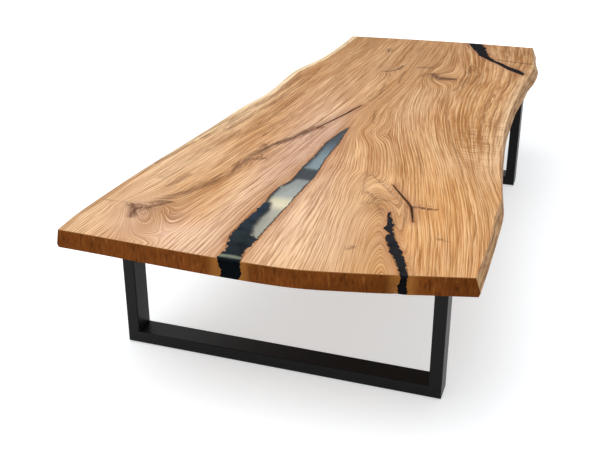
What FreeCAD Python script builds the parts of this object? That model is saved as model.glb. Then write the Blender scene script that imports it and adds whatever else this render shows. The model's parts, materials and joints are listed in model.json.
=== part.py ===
import FreeCAD, Part
import Sketcher
import os

# Low table: a live-edge oak slab with resin-filled cracks on two steel sled frames.
# Millimetres, +Z up, +Y towards the rear end, origin on the floor under the middle.

SIZES = {
    # Slab
    "table_height": 410,
    "slab_thickness": 42,
    "slab_length": 1820,
    "front_width": 900,
    "rear_width": 680,
    "centre_drift": 50,
    "crown_height": 8,
    "edge_undercut": 3,
    "saw_allowance": 60,
    # Cracks and their resin
    "rear_crack_depth": 24,
    "check_depth": 12,
    # Steel tube of the two frames
    "tube_face": 30,
    "tube_depth": 60,
    "tube_wall": 2,
    "tube_corner_radius": 3,
    "front_overhang": 242,
    "rear_overhang": 221,
    "front_left_inset": 15,
    "front_right_inset": 72,
    "rear_left_inset": 27,
    "rear_right_inset": 29,
    # Mounting plates and their fasteners
    "plate_length": 100,
    "plate_depth": 120,
    "plate_thickness": 6,
    "plate_hole_diameter": 9,
    "plate_hole_margin": 15,
    "bolt_diameter": 8,
    "bolt_length": 35,
    "bolt_head_flats": 13,
    "bolt_head_height": 5.3,
    # Flat bars let into the underside
    "bar_width": 60,
    "bar_thickness": 8,
    "bar_from_frame": 223,
    "bar_end_inset": 90,
    "bar_hole_diameter": 7,
    "bar_hole_margin": 50,
    "screw_diameter": 6,
    "screw_length": 30,
    "screw_head_flats": 10,
    "screw_head_height": 4,
    # Floor glides
    "glide_length": 50,
    "glide_width": 24,
    "glide_thickness": 3,
    "glide_inset": 40,
}

# Live edges: share of the length, wave of the top edge out from the straight one, slope on out to the crown.
LEFT_EDGE = (
    (0.00, -27, 4),
    (0.04, -18, 19),
    (0.09, -13, 30),
    (0.17, -10, 29),
    (0.25, -11, 26),
    (0.33, -14, 23),
    (0.42, -16, 21),
    (0.50, -16, 20),
    (0.54, -23, 21),
    (0.62, -19, 21),
    (0.67, -9, 19),
    (0.71, -5, 16),
    (0.75, -13, 19),
    (0.79, -23, 21),
    (0.87, -26, 21),
    (0.93, -22, 19),
    (1.00, -12, 16),
)
RIGHT_EDGE = (
    (0.00, -7, 10),
    (0.08, -3, 11),
    (0.17, 1, 11),
    (0.21, -1, 14),
    (0.25, 2, 10),
    (0.29, -4, 8),
    (0.33, -13, 8),
    (0.42, -25, 6),
    (0.50, -36, 8),
    (0.58, -38, 9),
    (0.67, -32, 8),
    (0.75, -22, 10),
    (0.79, -17, 9),
    (0.83, -10, 13),
    (0.875, -7, 15),
    (0.91, -15, 20),
    (0.955, -23, 16),
    (1.00, -27, 15),
)
# Saw cuts of the two ends: share of the end's width from the middle, set-back from the longest point.
FRONT_CUT = (
    (-0.60, 13),
    (-0.25, 6),
    (0.03, 0),
    (0.12, 4),
    (0.21, 19),
    (0.30, 37),
    (0.40, 59),
    (0.60, 105),
)
REAR_CUT = (
    (-0.70, 54),
    (-0.35, 29),
    (-0.16, 16),
    (0.16, 3),
    (0.45, 0),
    (0.80, 2),
)
# Long crack: distance from the front end, left wall and right wall from the middle line.
RIVER = (
    (-20, -54, -8),
    (15, -55, -9),
    (50, -57, -16),
    (75, -64, -14),
    (110, -72, -11),
    (175, -68, -9),
    (235, -62, -8),
    (285, -59, -6),
    (332, -64, -6),
    (375, -59, -4),
    (420, -46, -3),
    (460, -46, -1),
    (510, -47, -4),
    (580, -43, -11),
    (695, -43, -9),
    (775, -31, -16),
    (819, -20, -18),
)
# Where the black pour of the long crack stops: distance from the front end, boundary from the middle line.
BLACK_POUR = (
    (-30, 10),
    (100, 10),
    (103, -17),
    (116, -33),
    (159, -43),
    (200, -45),
    (245, -42),
    (280, -50),
    (296, -80),
    (-30, -90),
)
# Curved crack: distance from the front end, left wall and right wall in from the straight right edge.
FRONT_CRACK = (
    (-20, 131, 113),
    (48, 147, 132),
    (72, 156, 138),
    (105, 170, 149),
    (138, 185, 161),
    (169, 198, 176),
    (194, 206, 185),
    (220, 204, 194),
    (234, 216, 197),
    (262, 215, 201),
    (288, 222, 213),
    (320, 225, 222),
)
# Diagonal crack: distance from the rear end, left wall and right wall in from the straight right edge.
REAR_CRACK = (
    (-20, 262, 206),
    (17, 247, 197),
    (55, 233, 185),
    (110, 211, 173),
    (164, 190, 161),
    (205, 157, 138),
    (242, 126, 102),
    (270, 105, 82),
    (299, 85, 48),
    (330, 54, 26),
    (350, 33, 29),
)
# Thin checks: distance from the front end, left wall and right wall from the middle line.
HEART_CHECK = (
    (788, -102, -100),
    (850, -83, -80),
    (930, -60, -56),
    (980, -48, -44),
    (1018, -37, -35),
)
BRANCH_CHECK = (
    (286, 274, 276),
    (361, 252, 257),
    (385, 238, 243),
    (470, 186, 188),
)

# Width of each crack's foot as a share of its mouth.
RIVER_FOOT = 0.9
FRONT_CRACK_FOOT = 0.25
REAR_CRACK_FOOT = 0.35
CHECK_FOOT = 0.3

BAR_SCREWS = 3
TOOL_MARGIN = 5.0
HEAD_SIDES = 6
SLANT_LIMIT = 0.1

doc = FreeCAD.newDocument("live_edge_table")
sheet = doc.addObject("Spreadsheet::Sheet", "sizes")
for row, (alias, value) in enumerate(SIZES.items(), start=1):
    sheet.set(f"A{row}", alias)
    sheet.set(f"B{row}", str(value))
    sheet.setAlias(f"B{row}", alias)
doc.recompute()

parts = []


def size(alias):
    return float(sheet.get(alias))


def finish(obj, label):
    obj.Label = label
    parts.append(obj)
    return obj


def bind(obj, **expressions):
    for name, expression in expressions.items():
        obj.setExpression(name.replace("__", "."), expression)
    return obj


def feature(name, shape):
    obj = doc.addObject("Part::Feature", name)
    obj.Shape = shape
    return obj


def boolean(kind, name, base, tool):
    obj = doc.addObject(f"Part::{kind}", name)
    obj.Base = base
    obj.Tool = tool
    return obj


def fuse(name, shapes):
    obj = doc.addObject("Part::MultiFuse", name)
    obj.Shapes = shapes
    return obj


# Heights that several pieces share.
top_z = size("table_height")
under_z = top_z - size("slab_thickness")
front_y = -size("slab_length") / 2
rear_y = size("slab_length") / 2


def share_of(y):
    return (y - front_y) / size("slab_length")


def half_width(share):
    return (size("front_width") + (size("rear_width") - size("front_width")) * share) / 2


def middle_x(share):
    return size("centre_drift") * share


def left_x(share):
    return middle_x(share) - half_width(share)


def right_x(share):
    return middle_x(share) + half_width(share)


# Board with its two live edges, longer than the slab by the saw allowance at each end.
def edge_curve(rows, straight_x, outward, slope_share, inward, z):
    allowance = size("saw_allowance") / size("slab_length")
    first = (rows[0][0] - allowance,) + rows[0][1:]
    last = (rows[-1][0] + allowance,) + rows[-1][1:]
    points = []
    for share, wave, slope in (first,) + rows + (last,):
        x = straight_x(share) + outward * (wave + slope_share * slope - inward)
        points.append(FreeCAD.Vector(x, front_y + share * size("slab_length"), z))
    curve = Part.BSplineCurve()
    curve.interpolate(points)
    return curve.toShape(), points[0], points[-1]


def board_section(slope_share, inward, z):
    left, left_front, left_rear = edge_curve(LEFT_EDGE, left_x, -1, slope_share, inward, z)
    right, right_front, right_rear = edge_curve(RIGHT_EDGE, right_x, 1, slope_share, inward, z)
    rear = Part.makeLine(left_rear, right_rear)
    front = Part.makeLine(right_front, left_front)
    return Part.Wire([left, rear, right, front])


underside_outline = feature("underside_outline", board_section(1, size("edge_undercut"), under_z))
crown_outline = feature("crown_outline", board_section(1, 0, under_z + size("crown_height")))
top_outline = feature("top_outline", board_section(0, 0, top_z))
board = doc.addObject("Part::Loft", "board")
board.Sections = [underside_outline, crown_outline, top_outline]
board.Solid = True
board.Ruled = True


# Saw cuts that bring the board to length, both a little wavy.
def cut_curve(points):
    curve = Part.BSplineCurve()
    curve.interpolate(points)
    return curve.toShape()


def saw_outline():
    z = under_z - TOOL_MARGIN
    front = []
    for share, setback in FRONT_CUT:
        front.append(FreeCAD.Vector(share * size("front_width"), front_y + setback, z))
    rear = []
    for share, setback in REAR_CUT:
        x = size("centre_drift") + share * size("rear_width")
        rear.append(FreeCAD.Vector(x, rear_y - setback, z))
    right = Part.makeLine(front[-1], rear[-1])
    left = Part.makeLine(rear[0], front[0])
    return Part.Face(Part.Wire([cut_curve(front), right, cut_curve(rear[::-1]), left]))


saw_face = feature("saw_face", saw_outline())
saw_block = doc.addObject("Part::Extrusion", "saw_block")
saw_block.Base = saw_face
saw_block.DirMode = "Custom"
saw_block.Dir = FreeCAD.Vector(0, 0, 1)
saw_block.Solid = True
saw_block.setExpression("LengthFwd", f"sizes.slab_thickness + {2 * TOOL_MARGIN}")
blank = boolean("Common", "blank", board, saw_block)


# A crack is a ragged slot between two walls, narrower at its foot.
def crack_block(walls, foot_share, foot_z):
    def outline(width_share, z):
        left = []
        right = []
        for y, left_wall, right_wall in walls:
            middle = (left_wall + right_wall) / 2
            half = (right_wall - left_wall) / 2 * width_share
            left.append(FreeCAD.Vector(middle - half, y, z))
            right.append(FreeCAD.Vector(middle + half, y, z))
        return Part.makePolygon(left + right[::-1] + left[:1])

    rise = top_z + TOOL_MARGIN - foot_z
    spread = 1 + (1 - foot_share) * TOOL_MARGIN / rise
    return Part.makeLoft([outline(foot_share, foot_z), outline(spread, top_z + TOOL_MARGIN)], True, True)


def from_front(rows):
    return [(front_y + distance, left, right) for distance, left, right in rows]


def from_front_right(rows):
    walls = []
    for distance, left, right in rows:
        edge = right_x(share_of(front_y + distance))
        walls.append((front_y + distance, edge - left, edge - right))
    return walls


def from_rear_right(rows):
    walls = []
    for distance, left, right in rows:
        edge = right_x(share_of(rear_y - distance))
        walls.append((rear_y - distance, edge - left, edge - right))
    return walls


through_z = under_z - TOOL_MARGIN
river_slot = feature("river_slot", crack_block(from_front(RIVER), RIVER_FOOT, through_z))
front_crack_slot = feature(
    "front_crack_slot", crack_block(from_front_right(FRONT_CRACK), FRONT_CRACK_FOOT, through_z)
)
rear_crack_slot = feature(
    "rear_crack_slot",
    crack_block(from_rear_right(REAR_CRACK), REAR_CRACK_FOOT, top_z - size("rear_crack_depth")),
)
heart_check_slot = feature(
    "heart_check_slot", crack_block(from_front(HEART_CHECK), CHECK_FOOT, top_z - size("check_depth"))
)
branch_check_slot = feature(
    "branch_check_slot", crack_block(from_front(BRANCH_CHECK), CHECK_FOOT, top_z - size("check_depth"))
)


def black_pour_block():
    points = []
    for distance, x in BLACK_POUR:
        points.append(FreeCAD.Vector(x, front_y + distance, through_z))
    face = Part.Face(Part.makePolygon(points + points[:1]))
    return face.extrude(FreeCAD.Vector(0, 0, top_z + TOOL_MARGIN - through_z))


black_pour = feature("black_pour", black_pour_block())


# Each frame stands in from the straight edges and from its own end; texts are sheet expressions.
def frame_texts(end):
    if end == "front":
        middle = "sizes.front_overhang + sizes.tube_depth / 2"
    else:
        middle = "sizes.slab_length - sizes.rear_overhang - sizes.tube_depth / 2"
    share = f"({middle}) / sizes.slab_length"
    spread = f"(sizes.front_width + (sizes.rear_width - sizes.front_width) * {share})"
    left = f"sizes.centre_drift * {share} - {spread} / 2 + sizes.{end}_left_inset"
    right = f"sizes.centre_drift * {share} + {spread} / 2 - sizes.{end}_right_inset"
    return {
        "left": left,
        "right": right,
        "width": f"{spread} - sizes.{end}_left_inset - sizes.{end}_right_inset",
        "y": f"{middle} - sizes.slab_length / 2",
    }


FRAMES = {"front": frame_texts("front"), "rear": frame_texts("rear")}
POST_TOP = "sizes.table_height - sizes.slab_thickness - sizes.plate_thickness - sizes.glide_thickness"
UNDERSIDE = "sizes.table_height - sizes.slab_thickness"


def worth(text):
    return float(sheet.evalExpression(text))


def plane_of(body, role):
    for origin_feature in body.Origin.OriginFeatures:
        if origin_feature.Role == role:
            return origin_feature
    raise ValueError(role)


def new_sketch(body, name, role):
    sketch = body.newObject("Sketcher::SketchObject", name)
    sketch.AttachmentSupport = (plane_of(body, role), [""])
    sketch.MapMode = "FlatFace"
    return sketch


def pin_point(sketch, geometry, position, x_text, y_text):
    for kind, text in (("DistanceX", x_text), ("DistanceY", y_text)):
        constraint = Sketcher.Constraint(kind, -1, 1, geometry, position, worth(text))
        number = sketch.addConstraint(constraint)
        sketch.setExpression(f"Constraints[{number}]", text)


def draw_polygon(sketch, corners):
    places = [FreeCAD.Vector(worth(x_text), worth(y_text), 0) for x_text, y_text in corners]
    lines = []
    for start, stop in zip(places, places[1:] + places[:1]):
        lines.append(sketch.addGeometry(Part.LineSegment(start, stop), False))
    for line, following in zip(lines, lines[1:] + lines[:1]):
        sketch.addConstraint(Sketcher.Constraint("Coincident", line, 2, following, 1))
    for line, (x_text, y_text) in zip(lines, corners):
        pin_point(sketch, line, 1, x_text, y_text)


def draw_hole(sketch, x_text, y_text, diameter_text):
    centre = FreeCAD.Vector(worth(x_text), worth(y_text), 0)
    circle = Part.Circle(centre, FreeCAD.Vector(0, 0, 1), worth(diameter_text) / 2)
    geometry = sketch.addGeometry(circle, False)
    pin_point(sketch, geometry, 3, x_text, y_text)
    number = sketch.addConstraint(Sketcher.Constraint("Diameter", geometry, worth(diameter_text)))
    sketch.setExpression(f"Constraints[{number}]", diameter_text)


def place(obj, x_text, y_text, z_text):
    bind(obj, Placement__Base__x=x_text, Placement__Base__y=y_text, Placement__Base__z=z_text)


# Steel tube: a mitred outline padded to the tube's depth, rounded along its length and hollowed.
def tube(label, outline, bore, along):
    body = doc.addObject("PartDesign::Body", f"{label}_body")
    outline_sketch = new_sketch(body, f"{label}_outline", "XZ_Plane")
    draw_polygon(outline_sketch, outline)
    pad = body.newObject("PartDesign::Pad", f"{label}_pad")
    pad.Profile = outline_sketch
    pad.SideType = "Symmetric"
    pad.setExpression("Length", "sizes.tube_depth")
    doc.recompute()
    long_edges = []
    for number, edge in enumerate(pad.Shape.Edges, start=1):
        if edge.tangentAt(edge.FirstParameter).cross(along).Length < SLANT_LIMIT:
            long_edges.append(f"Edge{number}")
    rounding = body.newObject("PartDesign::Fillet", f"{label}_corners")
    rounding.Base = (pad, long_edges)
    rounding.setExpression("Radius", "sizes.tube_corner_radius")
    bore_sketch = new_sketch(body, f"{label}_bore", "XZ_Plane")
    draw_polygon(bore_sketch, bore)
    hollow = body.newObject("PartDesign::Pocket", f"{label}_hollow")
    hollow.Profile = bore_sketch
    hollow.SideType = "Symmetric"
    hollow.setExpression("Length", "sizes.tube_depth - 2 * sizes.tube_wall")
    return finish(body, label)


def post(end, side):
    face = "sizes.tube_face"
    inner = f"{face} - sizes.tube_wall"
    past_end = f"{POST_TOP} + {face}"
    foot = {"left": (("0", "0"), (face, face)), "right": (("0", face), (face, "0"))}[side]
    outline = (*foot, (face, POST_TOP), ("0", POST_TOP))
    bore = (
        ("sizes.tube_wall", f"-{face}"),
        (inner, f"-{face}"),
        (inner, past_end),
        ("sizes.tube_wall", past_end),
    )
    body = tube(f"{end}_{side}_post", outline, bore, FreeCAD.Vector(0, 0, 1))
    texts = FRAMES[end]
    outer_x = {"left": texts["left"], "right": f"{texts['right']} - {face}"}[side]
    place(body, outer_x, texts["y"], "sizes.glide_thickness")


def floor_rail(end):
    face = "sizes.tube_face"
    texts = FRAMES[end]
    width = texts["width"]
    outline = (("0", "0"), (width, "0"), (f"{width} - {face}", face), (face, face))
    low = "sizes.tube_wall"
    high = f"{face} - sizes.tube_wall"
    bore = ((f"-{face}", low), (f"{width} + {face}", low), (f"{width} + {face}", high), (f"-{face}", high))
    body = tube(f"{end}_floor_rail", outline, bore, FreeCAD.Vector(1, 0, 0))
    place(body, texts["left"], texts["y"], "sizes.glide_thickness")


def flat_steel(label, length, width, thickness, holes, hole_diameter):
    body = doc.addObject("PartDesign::Body", f"{label}_body")
    sketch = new_sketch(body, f"{label}_outline", "XY_Plane")
    half = f"{width} / 2"
    draw_polygon(sketch, (("0", f"-{half}"), (length, f"-{half}"), (length, half), ("0", half)))
    for x_text, y_text in holes:
        draw_hole(sketch, x_text, y_text, hole_diameter)
    pad = body.newObject("PartDesign::Pad", f"{label}_pad")
    pad.Profile = sketch
    pad.setExpression("Length", thickness)
    return finish(body, label)


# Mounting plates: one on each post, flush with the post's outer face.
def plate_holes():
    margin = "sizes.plate_hole_margin"
    reach = f"(sizes.plate_depth / 2 - {margin})"
    holes = []
    for x_text in (margin, f"sizes.plate_length - {margin}"):
        holes += [(x_text, f"-{reach}"), (x_text, reach)]
    return holes


def plate_corner(end, side):
    texts = FRAMES[end]
    x_text = {"left": texts["left"], "right": f"{texts['right']} - sizes.plate_length"}[side]
    return x_text, texts["y"]


def mounting_plate(end, side):
    body = flat_steel(
        f"{end}_{side}_mounting_plate",
        "sizes.plate_length",
        "sizes.plate_depth",
        "sizes.plate_thickness",
        plate_holes(),
        "sizes.plate_hole_diameter",
    )
    place(body, *plate_corner(end, side), f"{UNDERSIDE} - sizes.plate_thickness")


# Flat bars let into the underside, between the frames.
def bar_texts(end):
    sign = {"front": "+", "rear": "-"}[end]
    y_text = f"({FRAMES[end]['y']}) {sign} sizes.bar_from_frame"
    share = f"({y_text} + sizes.slab_length / 2) / sizes.slab_length"
    spread = f"(sizes.front_width + (sizes.rear_width - sizes.front_width) * {share})"
    left = f"sizes.centre_drift * {share} - {spread} / 2 + sizes.bar_end_inset"
    return left, y_text, f"({spread} - 2 * sizes.bar_end_inset)"


def bar_holes(length):
    gap = f"({length} - 2 * sizes.bar_hole_margin) / {BAR_SCREWS - 1}"
    return [(f"sizes.bar_hole_margin + {number} * {gap}", "0") for number in range(BAR_SCREWS)]


def stiffener_bar(end):
    left, y_text, length = bar_texts(end)
    body = flat_steel(
        f"{end}_stiffener_bar",
        length,
        "sizes.bar_width",
        "sizes.bar_thickness",
        bar_holes(length),
        "sizes.bar_hole_diameter",
    )
    place(body, left, y_text, UNDERSIDE)


for end in FRAMES:
    floor_rail(end)
    for side in ("left", "right"):
        post(end, side)
        mounting_plate(end, side)
    stiffener_bar(end)


# Fasteners: one master of each kind, a hexagon head on a plain shank, repeated at every hole.
def cylinder(name, diameter, height):
    obj = doc.addObject("Part::Cylinder", name)
    bind(obj, Radius=f"{diameter} / 2", Height=height)
    return obj


def hexagon_head(name, flats, height):
    obj = doc.addObject("Part::Prism", name)
    obj.Polygon = HEAD_SIDES
    bind(obj, Circumradius=f"{flats} / sqrt(3)", Height=height, Placement__Base__z=f"-{height}")
    return obj


def plate_bolt_places():
    places = []
    for end in FRAMES:
        for side in ("left", "right"):
            corner_x, corner_y = plate_corner(end, side)
            for x_text, y_text in plate_holes():
                places.append((worth(f"{corner_x} + {x_text}"), worth(f"{corner_y} + {y_text}")))
    return places


def bar_screw_places():
    places = []
    for end in FRAMES:
        left, y_text, length = bar_texts(end)
        for x_text, _ in bar_holes(length):
            places.append((worth(f"{left} + {x_text}"), worth(y_text)))
    return places


def repeat(name, master, places, z):
    doc.recompute()
    copies = [master.Shape.translated(FreeCAD.Vector(x, y, z)) for x, y in places]
    return feature(name, Part.makeCompound(copies))


plate_face_z = under_z - size("plate_thickness")

bolt_head = hexagon_head("bolt_head", "sizes.bolt_head_flats", "sizes.bolt_head_height")
bolt_shank = cylinder("bolt_shank", "sizes.bolt_diameter", "sizes.bolt_length")
bolt = boolean("Fuse", "bolt", bolt_head, bolt_shank)
finish(repeat("bolts", bolt, plate_bolt_places(), plate_face_z), "mounting_bolts")

screw_head = hexagon_head("screw_head", "sizes.screw_head_flats", "sizes.screw_head_height")
screw_shank = cylinder("screw_shank", "sizes.screw_diameter", "sizes.screw_length")
screw = boolean("Fuse", "screw", screw_head, screw_shank)
finish(repeat("screws", screw, bar_screw_places(), under_z), "stiffener_screws")


# Floor glides under both ends of each rail.
def glide_places():
    places = []
    for end, texts in FRAMES.items():
        near = worth(f"{texts['left']} + sizes.glide_inset")
        far = worth(f"{texts['right']} - sizes.glide_inset - sizes.glide_length")
        y = worth(f"{texts['y']} - sizes.glide_width / 2")
        places += [(near, y), (far, y)]
    return places


glide = doc.addObject("Part::Box", "glide")
bind(glide, Length="sizes.glide_length", Width="sizes.glide_width", Height="sizes.glide_thickness")
finish(repeat("glides", glide, glide_places(), 0), "floor_glides")

# Hollows in the underside: a hole for each shank and a groove for each bar.
bolt_holes = repeat("bolt_holes", bolt_shank, plate_bolt_places(), plate_face_z)
screw_holes = repeat("screw_holes", screw_shank, bar_screw_places(), under_z)


def bar_groove(end):
    left, y_text, length = bar_texts(end)
    groove = doc.addObject("Part::Box", f"{end}_bar_groove")
    bind(groove, Length=length, Width="sizes.bar_width", Height="sizes.bar_thickness")
    place(groove, left, f"{y_text} - sizes.bar_width / 2", UNDERSIDE)
    return groove


grooves = [bar_groove(end) for end in FRAMES]

# Slab and the resin that fills its cracks, all from the same blank so that their walls meet.
slots = [river_slot, front_crack_slot, rear_crack_slot, heart_check_slot, branch_check_slot]
hollows = fuse("hollows", slots + grooves + [bolt_holes, screw_holes])
finish(boolean("Cut", "slab", blank, hollows), "oak_slab")

river_fill = boolean("Common", "river_fill", blank, river_slot)
river_cast = boolean("Cut", "river_cast", river_fill, grooves[0])
finish(boolean("Cut", "clear_cast", river_cast, black_pour), "river_clear_resin")
finish(boolean("Common", "black_cast", river_cast, black_pour), "river_black_resin")
finish(boolean("Common", "front_crack_cast", blank, front_crack_slot), "front_crack_resin")
finish(boolean("Common", "rear_crack_cast", blank, rear_crack_slot), "rear_crack_resin")
finish(boolean("Common", "heart_check_cast", blank, heart_check_slot), "heart_check_resin")
finish(boolean("Common", "branch_check_cast", blank, branch_check_slot), "branch_check_resin")

doc.recompute()
for obj in doc.Objects:
    if "Invalid" in obj.State or "Error" in obj.State:
        raise RuntimeError(f"{obj.Label} failed: {obj.State}")

os.makedirs("parts", exist_ok=True)
for obj in parts:
    if obj.Shape.isNull() or not obj.Shape.isValid() or not obj.Shape.Solids:
        raise RuntimeError(f"{obj.Label} has no sound solid")
for obj in parts:
    obj.Shape.exportStep(f"parts/{obj.Label}.step")
    print(obj.Label, len(obj.Shape.Solids), round(obj.Shape.Volume))
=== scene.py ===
import json
import math

import bpy
import numpy as np
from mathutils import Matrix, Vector, noise
from mathutils.geometry import delaunay_2d_cdt


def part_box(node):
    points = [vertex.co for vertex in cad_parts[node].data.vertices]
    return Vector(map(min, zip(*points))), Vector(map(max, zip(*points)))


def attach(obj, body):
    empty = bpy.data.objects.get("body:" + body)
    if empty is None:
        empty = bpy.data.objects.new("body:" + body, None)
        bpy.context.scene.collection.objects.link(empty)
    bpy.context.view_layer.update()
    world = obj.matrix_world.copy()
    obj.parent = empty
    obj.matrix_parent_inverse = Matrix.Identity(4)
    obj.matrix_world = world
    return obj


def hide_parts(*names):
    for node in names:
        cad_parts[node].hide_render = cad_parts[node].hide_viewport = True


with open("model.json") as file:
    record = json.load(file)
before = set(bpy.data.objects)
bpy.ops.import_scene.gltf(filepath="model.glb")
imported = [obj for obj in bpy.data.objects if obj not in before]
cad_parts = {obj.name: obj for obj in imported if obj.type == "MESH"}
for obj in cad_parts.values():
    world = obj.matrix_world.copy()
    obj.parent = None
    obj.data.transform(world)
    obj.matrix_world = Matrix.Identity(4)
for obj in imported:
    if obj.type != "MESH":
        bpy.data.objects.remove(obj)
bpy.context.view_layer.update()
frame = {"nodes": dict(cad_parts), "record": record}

# The table's own sizes and places are in millimetres, the stage's in metres.
MM = 0.001
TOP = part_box("oak_slab")[1].z / MM
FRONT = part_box("oak_slab")[0].y / MM

# Resin pieces: their slot, and how ragged the crack is that each one fills.
RESINS = {
    "river_clear_resin": ("clear_resin", 0.45),
    "river_black_resin": ("black_resin", 1.0),
    "front_crack_resin": ("black_resin", 0.8),
    "rear_crack_resin": ("black_resin", 0.8),
    "heart_check_resin": ("black_resin", 0.2),
    "branch_check_resin": ("black_resin", 0.3),
}


def srgb(text):
    """Linear RGBA from an sRGB hex value."""
    channels = [int(text[start:start + 2], 16) / 255 for start in (1, 3, 5)]
    linear = [c / 12.92 if c <= 0.04045 else ((c + 0.055) / 1.055) ** 2.4 for c in channels]
    return (*linear, 1.0)


def add(tree, kind, inputs=None, output=0, **settings):
    """Adds a node; inputs, by name or number, are linked if sockets and set if values."""
    node = tree.nodes.new(kind)
    for name, value in settings.items():
        setattr(node, name, value)
    for key, value in (inputs or {}).items():
        sources = value if isinstance(value, list) else [value]
        for source in sources:
            if isinstance(source, bpy.types.NodeSocket):
                tree.links.new(source, node.inputs[key])
            else:
                node.inputs[key].default_value = source
    return node.outputs if output is None else node.outputs[output]


def new_material(name):
    """A material with an empty node tree, and that tree."""
    material = bpy.data.materials.new(name)
    material.use_nodes = True
    material.node_tree.nodes.clear()
    return material, material.node_tree


# Meshes of the frame: how many decimals tell two points apart, how close two places are the same, and
# how far under the top a point still counts as flush with it.
POINT_DECIMALS = 3
SAME_PLACE = 1e-4
FLUSH = 0.01


def merged(node):
    """A frame node's points, each one once, and its triangles."""
    mesh = frame["nodes"][node].data
    mesh.calc_loop_triangles()
    points = np.empty(len(mesh.vertices) * 3)
    mesh.vertices.foreach_get("co", points)
    triangles = np.empty(len(mesh.loop_triangles) * 3, dtype=np.int64)
    mesh.loop_triangles.foreach_get("vertices", triangles)
    points = np.round(points.reshape(-1, 3) / MM, POINT_DECIMALS)
    points, index = np.unique(points, axis=0, return_inverse=True)
    triangles = index.reshape(-1)[triangles].reshape(-1, 3)
    a, b, c = triangles.T
    return points, triangles[(a != b) & (b != c) & (c != a)]


def edges_of(triangles):
    """Every edge once, and for each triangle the numbers of its three edges."""
    pairs = np.concatenate([triangles[:, [0, 1]], triangles[:, [1, 2]], triangles[:, [2, 0]]])
    keys, index = np.unique(np.sort(pairs, axis=1), axis=0, return_inverse=True)
    return keys, index.reshape(3, -1).T


def flat_on_top(points, triangles):
    """Which triangles lie in the face of the table top."""
    return (points[triangles][:, :, 2] > TOP - FLUSH).all(axis=1)


def rim(points, triangles):
    """Edges between the top face and the walls, as pairs of points in plan."""
    keys, index = edges_of(triangles)
    uses = np.bincount(index[flat_on_top(points, triangles)].ravel(), minlength=len(keys))
    return points[keys[uses == 1]][:, :, :2]


def refine(points, triangles, limit):
    """Halves every edge longer than the limit at its middle, until none is left.

    A triangle's code says which of its edges are split: 1 for ab, 2 for bc and 4 for ca.
    """
    while True:
        keys, index = edges_of(triangles)
        ends = points[keys]
        middles = ends.mean(axis=1)
        too_long = np.linalg.norm(ends[:, 0] - ends[:, 1], axis=1) > limit(middles)
        if not too_long.any():
            return points, triangles
        number = np.full(len(keys), -1)
        number[too_long] = len(points) + np.arange(too_long.sum())
        points = np.concatenate([points, middles[too_long]])
        split = number[index]
        a, b, c = triangles.T
        ab, bc, ca = split.T
        codes = (split >= 0) @ np.array([1, 2, 4])
        pieces = {
            0: ((a, b, c),),
            1: ((a, ab, c), (ab, b, c)),
            2: ((a, b, bc), (a, bc, c)),
            4: ((a, b, ca), (ca, b, c)),
            3: ((a, ab, c), (ab, bc, c), (ab, b, bc)),
            6: ((a, b, bc), (a, bc, ca), (ca, bc, c)),
            5: ((a, ab, ca), (ab, b, ca), (ca, b, c)),
            7: ((a, ab, ca), (ab, b, bc), (ca, bc, c), (ab, bc, ca)),
        }
        parts = []
        for code, corners in pieces.items():
            chosen = codes == code
            parts += [np.stack([corner[chosen] for corner in trio], axis=1) for trio in corners]
        triangles = np.concatenate(parts)


# Distances to cracks and edges are measured this far.
REACH = 45.0


def nearest(points, segments):
    """Distance in plan to the nearest segment, up to a reach, and that segment's number."""
    order = np.argsort(points[:, 1])
    plan = points[order, :2]
    best = np.full(len(points), REACH)
    which = np.zeros(len(points), dtype=int)
    for number, (start, stop) in enumerate(segments):
        low, high = sorted((start[1], stop[1]))
        near = slice(*np.searchsorted(plan[:, 1], (low - REACH, high + REACH)))
        along = stop - start
        share = np.clip((plan[near] - start) @ along / max(along @ along, SAME_PLACE**2), 0, 1)
        gap = np.linalg.norm(plan[near] - start - share[:, None] * along, axis=1)
        closer = gap < best[near]
        best[near][closer] = gap[closer]
        which[near][closer] = number
    back = np.argsort(order)
    return best[back], which[back]


def inside(plan, segments):
    """Even-odd test of points against an outline with its holes."""
    order = np.argsort(plan[:, 1])
    x, y = plan[order].T
    odd = np.zeros(len(plan), dtype=bool)
    for (x0, y0), (x1, y1) in segments:
        if y0 != y1:
            rows = slice(*np.searchsorted(y, sorted((y0, y1))))
            odd[rows] ^= x[rows] < x0 + (y[rows] - y0) * (x1 - x0) / (y1 - y0)
    return odd[np.argsort(order)]


def lattice(low, high, pitch):
    """A square net of points over a rectangle."""
    spread = [np.arange(a, b, pitch) for a, b in zip(low, high)]
    return np.stack(np.meshgrid(*spread), axis=-1).reshape(-1, 2)


# Edges that turn by more than this stay sharp.
SHARP_ANGLE = math.radians(32)


def make_piece(name, points, triangles, material, node, slot, **attributes):
    """A finished piece in place of a frame node, with values on its points for the finish to read."""
    mesh = bpy.data.meshes.new(name)
    mesh.vertices.add(len(points))
    mesh.vertices.foreach_set("co", (points * MM).astype(np.float32).ravel())
    mesh.loops.add(triangles.size)
    mesh.loops.foreach_set("vertex_index", triangles.astype(np.int32).ravel())
    mesh.polygons.add(len(triangles))
    mesh.polygons.foreach_set("loop_start", np.arange(0, triangles.size, 3, dtype=np.int32))
    mesh.polygons.foreach_set("use_smooth", np.ones(len(triangles), dtype=bool))
    mesh.update(calc_edges=True)
    mesh.set_sharp_from_angle(angle=SHARP_ANGLE)
    for key, values in attributes.items():
        values = np.asarray(values, dtype=np.float32)
        kind, field = ("FLOAT", "value") if values.ndim == 1 else ("FLOAT_VECTOR", "vector")
        layer = mesh.attributes.new(key, kind, "POINT")
        layer.data.foreach_set(field, values.T.ravel())
    mesh.materials.append(material)
    piece = bpy.data.objects.new(name, mesh)
    bpy.context.scene.collection.objects.link(piece)
    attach(piece, "root")
    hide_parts(node)


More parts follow.
